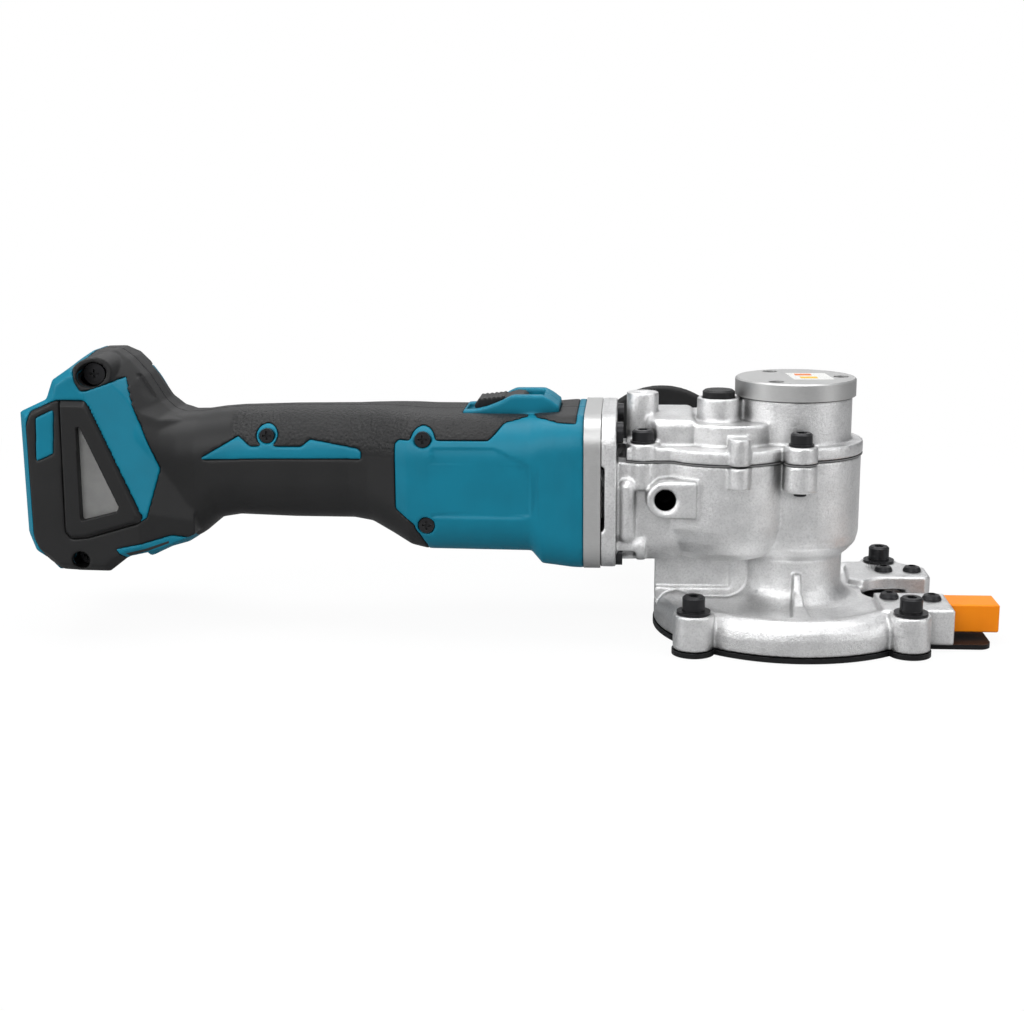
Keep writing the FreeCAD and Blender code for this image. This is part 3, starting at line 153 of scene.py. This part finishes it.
# ---------------------------------------------------------------- materials
class Graph:
    """Lays out one material's nodes; positions are in mm in the part's own frame."""

    def __init__(self, name):
        self.mat = bpy.data.materials.new(name)
        self.mat.use_nodes = True
        self.tree = self.mat.node_tree
        self.bsdf = self.tree.nodes["Principled BSDF"]
        coord = self.node("ShaderNodeTexCoord")
        scale = self.node("ShaderNodeVectorMath")
        scale.operation = "SCALE"
        scale.inputs["Scale"].default_value = 1.0 / MM
        self.link(coord.outputs["Object"], scale.inputs[0])
        self.mm = scale.outputs[0]
        self.height = None

    def node(self, kind):
        return self.tree.nodes.new(kind)

    def link(self, a, b):
        self.tree.links.new(a, b)

    def put(self, key, value):
        self.bsdf.inputs[key].default_value = value

    def drive(self, key, output):
        self.link(output, self.bsdf.inputs[key])

    def noise(self, size_mm, detail=3.0, rough=0.5, stretch=None, seed=0.0):
        vec = self.mm
        if stretch:
            m = self.node("ShaderNodeVectorMath")
            m.operation = "MULTIPLY"
            m.inputs[1].default_value = stretch
            self.link(self.mm, m.inputs[0])
            vec = m.outputs[0]
        n = self.node("ShaderNodeTexNoise")
        n.noise_dimensions = "4D"
        n.inputs["W"].default_value = seed
        n.inputs["Scale"].default_value = 1.0 / size_mm
        n.inputs["Detail"].default_value = detail
        n.inputs["Roughness"].default_value = rough
        self.link(vec, n.inputs["Vector"])
        return n.outputs["Fac"]

    def cells(self, size_mm):
        """Rounded cells, as in leather."""
        v = self.node("ShaderNodeTexVoronoi")
        v.feature = "SMOOTH_F1"
        v.inputs["Scale"].default_value = 1.0 / size_mm
        self.link(self.mm, v.inputs["Vector"])
        return v.outputs["Distance"]

    def threads(self, direction, scale):
        w = self.node("ShaderNodeTexWave")
        w.wave_type = "BANDS"
        w.bands_direction = direction
        w.inputs["Scale"].default_value = scale
        w.inputs["Distortion"].default_value = 0.0
        self.link(self.mm, w.inputs["Vector"])
        return w.outputs["Fac"]

    def math(self, op, a, b=None):
        m = self.node("ShaderNodeMath")
        m.operation = op
        for i, x in enumerate((a, b)):
            if x is None:
                continue
            if isinstance(x, (int, float)):
                m.inputs[i].default_value = x
            else:
                self.link(x, m.inputs[i])
        return m.outputs[0]

    def times(self, a, b):
        return self.math("MULTIPLY", a, b)

    def ramp(self, fac, lo, hi, at=(0.35, 0.65)):
        """Maps fac from the range at to the range lo..hi, held at both ends."""
        r = self.node("ShaderNodeMapRange")
        r.inputs["From Min"].default_value = at[0]
        r.inputs["From Max"].default_value = at[1]
        r.inputs["To Min"].default_value = lo
        r.inputs["To Max"].default_value = hi
        self.link(fac, r.inputs["Value"])
        return r.outputs["Result"]

    def spread(self, fac):
        return self.ramp(fac, 0.0, 1.0)

    def mix_color(self, fac, a, b):
        m = self.node("ShaderNodeMix")
        m.data_type = "RGBA"
        self.link(fac, m.inputs[0])
        for slot, value in ((6, a), (7, b)):
            if isinstance(value, tuple):
                m.inputs[slot].default_value = (*value, 1.0)
            else:
                self.link(value, m.inputs[slot])
        return m.outputs[2]

    def axis(self, index):
        s = self.node("ShaderNodeSeparateXYZ")
        self.link(self.mm, s.inputs[0])
        return s.outputs[index]

    def band(self, value, limits, soft):
        """1 between the two limits, fading out over soft."""
        lo, hi = limits
        up = self.ramp(value, 0.0, 1.0, (lo - soft, lo))
        down = self.ramp(value, 1.0, 0.0, (hi, hi + soft))
        return self.times(up, down)

    def below(self, value, limit, soft):
        """1 under the limit, fading out over soft."""
        return self.ramp(value, 1.0, 0.0, (limit, limit + soft))

    def round_y(self, x, z):
        """Distance in mm from a line along Y through (x, z)."""
        a = self.math("SUBTRACT", self.axis(0), x)
        b = self.math("SUBTRACT", self.axis(2), z)
        return self.math("SQRT", self.math("ADD", self.times(a, a), self.times(b, b)))

    def patch(self, outline, soft):
        """1 inside a convex side-view outline, on the near half only."""
        x = self.axis(0)
        z = self.axis(2)
        depth = None
        for x0, z0, nx, nz in outline_sides(outline):
            across = self.math("ADD", self.times(x, nx), self.times(z, nz))
            side = self.math("SUBTRACT", across, x0 * nx + z0 * nz)
            depth = side if depth is None else self.math("MINIMUM", depth, side)
        mask = self.ramp(depth, 0.0, 1.0, (0.0, soft))
        return self.times(mask, self.below(self.axis(1), NEAR_SKIN_Y, 1.0))

    def well(self, x, z, r):
        """1 inside a deep screw well in the near half: the mask for painted shade in wells."""
        inside = self.below(self.round_y(x, z), r, 0.3)
        return self.times(inside, self.below(self.axis(1), NEAR_WELL_Y, 1.0))

    def bump(self, height, distance_mm):
        b = self.node("ShaderNodeBump")
        b.inputs["Strength"].default_value = 1.0
        b.inputs["Distance"].default_value = distance_mm * MM
        self.link(height, b.inputs["Height"])
        if self.height is not None:
            self.link(self.height, b.inputs["Normal"])
        self.height = b.outputs["Normal"]
        self.drive("Normal", self.height)

    def edge_wear_and_highlight(self, radius_mm):
        """About 1 on sharp convex edges and 0 on flats; drives painted highlight on moulded plastic and bared-metal
        wear on oxide.
        """
        bevel = self.node("ShaderNodeBevel")
        bevel.samples = 4
        bevel.inputs["Radius"].default_value = radius_mm * MM
        geo = self.node("ShaderNodeNewGeometry")
        dot = self.node("ShaderNodeVectorMath")
        dot.operation = "DOT_PRODUCT"
        self.link(bevel.outputs[0], dot.inputs[0])
        self.link(geo.outputs["Normal"], dot.inputs[1])
        return self.ramp(dot.outputs["Value"], 1.0, 0.0, (0.90, 0.99))

    def corner_shade(self, reach_mm):
        """1 in the open, falling toward 0 in tight corners: the mask for painted shade in corners."""
        ao = self.node("ShaderNodeAmbientOcclusion")
        ao.samples = 6
        ao.inputs["Distance"].default_value = reach_mm * MM
        return self.ramp(ao.outputs["AO"], 0.0, 1.0, (0.25, 0.85))


def moulded(name, color, rough, grain_mm=0.35, grain_h=0.012, light=1.25, shine=0.45, wells=(), label=None):
    """Hard moulded plastic: faint clouds, painted highlight on convex edges, painted shade in corners and deep wells,
    fine grain.
    """
    g = Graph(name)
    tone = g.mix_color(g.spread(g.noise(14.0, 2.0)), shade(color, 0.94), shade(color, 1.05))
    # painted highlight: convex edges lightened by the light factor
    edge_highlight = g.times(g.edge_wear_and_highlight(0.35), 0.25)
    tone = g.mix_color(edge_highlight, tone, shade(color, light, 0.01))
    # painted shade: darker in tight corners
    tone = g.mix_color(g.corner_shade(4.0), shade(color, 0.35), tone)
    # painted shade: deep screw wells painted near-black
    for x, z, r in wells:
        tone = g.mix_color(g.well(x, z, r), tone, WELL_SHADE_BLACK)
    if label:
        tone = g.mix_color(g.patch(label, 0.2), tone, LABEL_GREY)
    g.drive("Base Color", tone)
    fine = g.noise(grain_mm, 3.0, 0.6)
    g.drive("Roughness", g.ramp(fine, rough - 0.04, rough + 0.06))
    g.bump(fine, grain_h)
    g.put("Specular IOR Level", shine)
    return g.mat


def elastomer(name, color, wells=()):
    """Black soft overmould: leather grain on the upper band of the grip, smooth below."""
    g = Graph(name)
    tone = g.mix_color(g.spread(g.noise(22.0, 3.0)), color, shade(color, 1.35))
    # painted shade: darker in tight corners
    tone = g.mix_color(g.corner_shade(3.0), shade(color, 0.4), tone)
    # painted shade: deep screw wells painted near-black
    for x, z, r in wells:
        tone = g.mix_color(g.well(x, z, r), tone, WELL_SHADE_BLACK)
    g.drive("Base Color", tone)
    zone = g.times(g.band(g.axis(0), LEATHER_X, 3.0), g.band(g.axis(2), LEATHER_Z, 4.0))
    leather = g.times(g.math("ADD", g.cells(1.15), g.noise(0.9, 4.0, 0.65)), zone)
    fine = g.noise(0.28, 3.0, 0.6)
    g.drive("Roughness", g.math("ADD", g.ramp(fine, 0.46, 0.56), g.times(zone, -0.06)))
    g.bump(fine, 0.018)
    g.bump(leather, 0.42)
    g.put("Specular IOR Level", 0.36)
    return g.mat


def cast_metal(name, base, rough, bores=()):
    """Bead-blasted cast aluminium: orange-peel grain, cloudy tone, painted shade in corners and bores."""
    g = Graph(name)
    cloud = g.noise(9.0, 4.0, 0.6)
    speck = g.noise(0.8, 4.0, 0.75, seed=3.0)
    tone = g.mix_color(g.spread(cloud), shade(base, 0.86), base)
    tone = g.mix_color(g.times(g.ramp(speck, 1.0, 0.0, (0.36, 0.54)), 0.5), tone, shade(base, 0.62))
    # painted shade: darker in tight corners
    tone = g.mix_color(g.corner_shade(6.0), shade(base, 0.26), tone)
    # painted shade: the handle bore painted near-black
    for x, z, r in bores:
        tone = g.mix_color(g.below(g.round_y(x, z), r, 0.2), tone, WELL_SHADE_BLACK)
    g.drive("Base Color", tone)
    g.put("Metallic", 1.0)
    peel = g.noise(1.2, 5.0, 0.66)
    fine = g.noise(0.45, 3.0, 0.65, seed=1.0)
    g.drive("Roughness", g.math("ADD", g.ramp(peel, rough - 0.06, rough + 0.06), g.ramp(cloud, -0.02, 0.04)))
    g.bump(peel, 0.24)
    g.bump(fine, 0.12)
    return g.mat


def machined(name, base, rough):
    """Machined aluminium with fine tool streaks."""
    g = Graph(name)
    streak = g.noise(0.5, 3.0, 0.6, stretch=(0.25, 1.0, 1.0))
    g.drive("Base Color", g.mix_color(g.spread(streak), shade(base, 0.93), base))
    g.put("Metallic", 1.0)
    g.drive("Roughness", g.ramp(streak, rough - 0.05, rough + 0.05))
    g.bump(g.noise(0.3, 2.0, 0.5, seed=5.0), 0.02)
    return g.mat


def oxide(name, base, rough):
    """Black oxide steel, faintly shiny, with bared metal on the edges."""
    g = Graph(name)
    worn = g.ramp(g.noise(1.6, 3.0, 0.6), 0.0, 1.0, (0.45, 0.6))
    mask = g.times(g.times(g.edge_wear_and_highlight(0.25), worn), 0.5)
    g.drive("Base Color", g.mix_color(mask, base, BARE_STEEL))
    g.put("Metallic", 0.55)
    fine = g.noise(0.35, 3.0, 0.6)
    g.drive("Roughness", g.ramp(fine, rough - 0.06, rough + 0.08))
    g.bump(fine, 0.012)
    return g.mat


def steel(name, base, rough):
    """Bright turned or rolled metal."""
    g = Graph(name)
    fine = g.noise(0.25, 3.0, 0.6, stretch=(1.0, 1.0, 0.2))
    g.drive("Base Color", g.mix_color(g.spread(fine), shade(base, 0.88), base))
    g.put("Metallic", 1.0)
    g.drive("Roughness", g.ramp(fine, rough - 0.05, rough + 0.08))
    g.bump(fine, 0.008)
    return g.mat


def film(name):
    """Blank white film with one plain orange and one plain yellow patch."""
    g = Graph(name)
    tone = g.mix_color(g.spread(g.noise(4.0, 2.0)), *FILM_WHITE)
    for (along_x, along_y), color in ((ORANGE_PATCH, FILM_ORANGE), (YELLOW_PATCH, FILM_YELLOW)):
        inside = g.times(g.band(g.axis(0), along_x, PATCH_EDGE), g.band(g.axis(1), along_y, PATCH_EDGE))
        tone = g.mix_color(inside, tone, color)
    g.drive("Base Color", tone)
    fine = g.noise(0.5, 2.0)
    g.drive("Roughness", g.ramp(fine, 0.26, 0.36))
    g.bump(fine, 0.004)
    return g.mat


def screen(name):
    """Fine woven filter cloth: two crossing sets of threads."""
    g = Graph(name)
    weave = g.math("MAXIMUM", g.threads("X", 1.1), g.threads("Z", 1.1))
    tone = g.mix_color(g.ramp(weave, 0.0, 1.0, (0.2, 0.8)), CLOTH_DARK, CLOTH_LIGHT)
    tone = g.mix_color(g.times(g.spread(g.noise(5.0, 3.0)), 0.25), tone, CLOTH_DUST)
    g.drive("Base Color", tone)
    g.put("Metallic", 0.35)
    g.put("Roughness", 0.5)
    g.bump(weave, 0.08)
    return g.mat


MATS = {
    "teal_plastic": moulded("teal_moulding", TEAL, 0.44, 0.32, 0.010, shine=0.24, wells=REAR_WELLS, label=BLANK_LABEL),
    "black_elastomer": elastomer("soft_black", SOFT_BLACK, REAR_WELLS),
    "black_plastic": moulded("black_moulding", HARD_BLACK, 0.46, 0.4, 0.014, 1.6, shine=0.36),
    "cast_aluminium": cast_metal("cast_alloy", CAST_GREY, 0.36, HANDLE_BORE),
    "machined_aluminium": machined("machined_alloy", MACHINED_GREY, 0.48),
    "black_oxide": oxide("black_oxide", OXIDE_BLACK, 0.36),
    "black_plate": oxide("black_coated_plate", PLATE_BLACK, 0.42),
    "gear_steel": steel("gear_steel", (0.50, 0.50, 0.51), 0.28),
    "blade_steel": steel("blade_steel", (0.62, 0.62, 0.63), 0.32),
    "carbide": steel("carbide", (0.34, 0.34, 0.35), 0.25),
    "copper": steel("winding_copper", (0.75, 0.33, 0.14), 0.35),
    "brass": steel("contact_brass", (0.82, 0.62, 0.28), 0.30),
    "orange_plastic": moulded("orange_block", ORANGE, 0.42, 0.5, 0.010, 1.05, shine=0.25),
    "sticker": film("plain_film"),
    "screen": screen("filter_cloth"),
    "gasket": moulded("gasket_sheet", (0.22, 0.22, 0.22), 0.6, 0.5, 0.01),
    "spring_steel": steel("spring_wire", (0.42, 0.42, 0.43), 0.30),
}


def dress(obj, material):
    obj.data.materials.clear()
    obj.data.materials.append(material)


def dress_nodes():
    for name, obj in NODES.items():
        dress(obj, MATS[SLOT_OF[name]])
        obj.data.shade_smooth()
        crease = obj.modifiers.new("smooth_by_angle", "EDGE_SPLIT")
        crease.split_angle = math.radians(CREASE_DEG)


# ---------------------------------------------------------------- soft-edged copies
def soft_copy(node, voxel_mm, passes):
    """A copy of a CAD node with its sharp edges run together, as a casting or moulding has them."""
    obj = bpy.data.objects.new(node + "_skin", NODES[node].data.copy())
    scene.collection.objects.link(obj)
    remesh = obj.modifiers.new("remesh", "REMESH")
    remesh.mode = "VOXEL"
    remesh.voxel_size = voxel_mm * MM
    remesh.use_smooth_shade = True
    smooth = obj.modifiers.new("smooth", "SMOOTH")
    smooth.factor = SMOOTH_FACTOR
    smooth.iterations = passes
    thin = obj.modifiers.new("thin", "DECIMATE")
    thin.ratio = KEPT_FACES
    depsgraph = bpy.context.evaluated_depsgraph_get()
    mesh = bpy.data.meshes.new_from_object(obj.evaluated_get(depsgraph))
    obj.modifiers.clear()
    obj.data = mesh
    obj.data.shade_smooth()
    dress(obj, MATS[SLOT_OF[node]])
    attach(obj, BODY_OF[node])
    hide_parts(node)
    return obj


def press_in(obj, outline, soft_mm, far=False):
    """Sink the area inside a convex side-view outline into the near or the far surface."""
    sides = outline_sides(outline)
    outward = 1.0 if far else -1.0
    moves = []
    for v in obj.data.vertices:
        if v.normal.y * outward < FACING_LIMIT:
            continue
        x = v.co.x / MM
        z = v.co.z / MM
        inside = min((x - x0) * nx + (z - z0) * nz for x0, z0, nx, nz in sides)
        if inside > 0.0:
            t = min(1.0, inside / soft_mm)
            moves.append((v.index, v.co - v.normal * (PANEL_DEPTH * MM * t * t * (3.0 - 2.0 * t))))
    for index, co in moves:
        obj.data.vertices[index].co = co


def soften_nodes():
    for node, (voxel, passes) in SOFT.items():
        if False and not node.endswith("near") and not node.startswith("gear"):
            continue
        skin = soft_copy(node, voxel, passes)
        if node.startswith("shell"):
            press_in(skin, MOTOR_PANEL, MOTOR_PANEL_EDGE, far=node.endswith("far"))
        if node == "overmould_near":
            press_in(skin, GAUGE_PANEL, GAUGE_PANEL_EDGE)


# ---------------------------------------------------------------- floor, light, camera
def floor_mesh():
    bm = bmesh.new()
    n = FLOOR_CELLS
    for i in range(n + 1):
        for j in range(n + 1):
            x = -FLOOR_HALF + 2 * FLOOR_HALF * i / n
            y = -FLOOR_HALF + 2 * FLOOR_HALF * j / n
            bm.verts.new((x, y, FLOOR_Z))
    bm.verts.ensure_lookup_table()
    for i in range(n):
        for j in range(n):
            a = i * (n + 1) + j
            bm.faces.new([bm.verts[k] for k in (a, a + n + 1, a + n + 2, a + 1)])
    mesh = bpy.data.meshes.new("floor")
    bm.to_mesh(mesh)
    bm.free()
    return mesh


def floor_material():
    """Pale paper: even white to the camera, a faint shadow near the tool, mid grey to other rays."""
    g = Graph("pale_floor")
    g.put("Base Color", FLOOR_WHITE)
    g.put("Roughness", 0.9)
    g.put("Specular IOR Level", 0.0)
    g.bump(g.noise(3.0, 2.0), 0.01)
    near = g.times(g.band(g.axis(0), SHADOW_X, SHADOW_FADE), g.band(g.axis(1), SHADOW_Y, SHADOW_FADE))
    glow = g.node("ShaderNodeEmission")
    paper = g.node("ShaderNodeMixShader")
    g.link(g.times(near, SHADOW_SHARE), paper.inputs[0])
    g.link(glow.outputs[0], paper.inputs[1])
    g.link(g.bsdf.outputs[0], paper.inputs[2])
    grey = g.node("ShaderNodeBsdfDiffuse")
    grey.inputs["Color"].default_value = FLOOR_BOUNCE
    path = g.node("ShaderNodeLightPath")
    seen = g.node("ShaderNodeMixShader")
    g.link(path.outputs["Is Camera Ray"], seen.inputs[0])
    g.link(grey.outputs[0], seen.inputs[1])
    g.link(paper.outputs[0], seen.inputs[2])
    g.link(seen.outputs[0], g.tree.nodes["Material Output"].inputs["Surface"])
    return g.mat


def make_floor():
    floor = bpy.data.objects.new("floor", floor_mesh())
    scene.collection.objects.link(floor)
    floor.data.materials.append(floor_material())


def make_world():
    """White to the camera; to other rays a soft gradient, dark below and grey above."""
    world = bpy.data.worlds.new("studio")
    scene.world = world
    world.use_nodes = True
    nodes = world.node_tree.nodes
    link = world.node_tree.links.new
    nodes.clear()
    white = nodes.new("ShaderNodeBackground")
    white.inputs["Color"].default_value = (1, 1, 1, 1)
    white.inputs["Strength"].default_value = 1.0
    soft = nodes.new("ShaderNodeBackground")
    soft.inputs["Strength"].default_value = 1.0
    sky = nodes.new("ShaderNodeValToRGB")
    for stop, position, color in zip(sky.color_ramp.elements, SKY_STOPS, (SKY_LOW, SKY_HIGH)):
        stop.position = position
        stop.color = color
    aim = nodes.new("ShaderNodeTexCoord")
    split = nodes.new("ShaderNodeSeparateXYZ")
    height = nodes.new("ShaderNodeMapRange")
    height.inputs["From Min"].default_value = -1.0
    path = nodes.new("ShaderNodeLightPath")
    mix = nodes.new("ShaderNodeMixShader")
    out = nodes.new("ShaderNodeOutputWorld")
    link(aim.outputs["Generated"], split.inputs[0])
    link(split.outputs[2], height.inputs["Value"])
    link(height.outputs["Result"], sky.inputs[0])
    link(sky.outputs[0], soft.inputs["Color"])
    link(path.outputs["Is Camera Ray"], mix.inputs[0])
    link(soft.outputs[0], mix.inputs[1])
    link(white.outputs[0], mix.inputs[2])
    link(mix.outputs[0], out.inputs[0])


def make_light(name, width, depth, location, target, power):
    light = bpy.data.lights.new(name, "AREA")
    light.shape = "RECTANGLE"
    light.size = width
    light.size_y = depth
    light.energy = power
    obj = bpy.data.objects.new(name, light)
    obj.location = location
    obj.rotation_euler = (Vector(target) - Vector(location)).to_track_quat("-Z", "Y").to_euler()
    obj.visible_camera = False
    scene.collection.objects.link(obj)


def make_camera():
    forward = Vector((-math.sin(YAW) * math.cos(PITCH), math.cos(YAW) * math.cos(PITCH), -math.sin(PITCH)))
    level = forward.cross(Vector((0, 0, 1))).normalized()
    upright = level.cross(forward)
    right = level * math.cos(ROLL) + upright * math.sin(ROLL)
    up = upright * math.cos(ROLL) - level * math.sin(ROLL)
    data = bpy.data.cameras.new("camera")
    data.sensor_width = SENSOR_MM
    data.lens = LENS_MM
    data.clip_start, data.clip_end = CLIP
    camera = bpy.data.objects.new("camera", data)
    turn = Matrix((right, up, -forward)).transposed()
    camera.matrix_world = Matrix.Translation(CAMERA_AT) @ turn.to_4x4()
    scene.collection.objects.link(camera)
    scene.camera = camera


dress_nodes()
soften_nodes()
make_floor()
make_world()
for light in LIGHTS:
    make_light(*light)
make_camera()
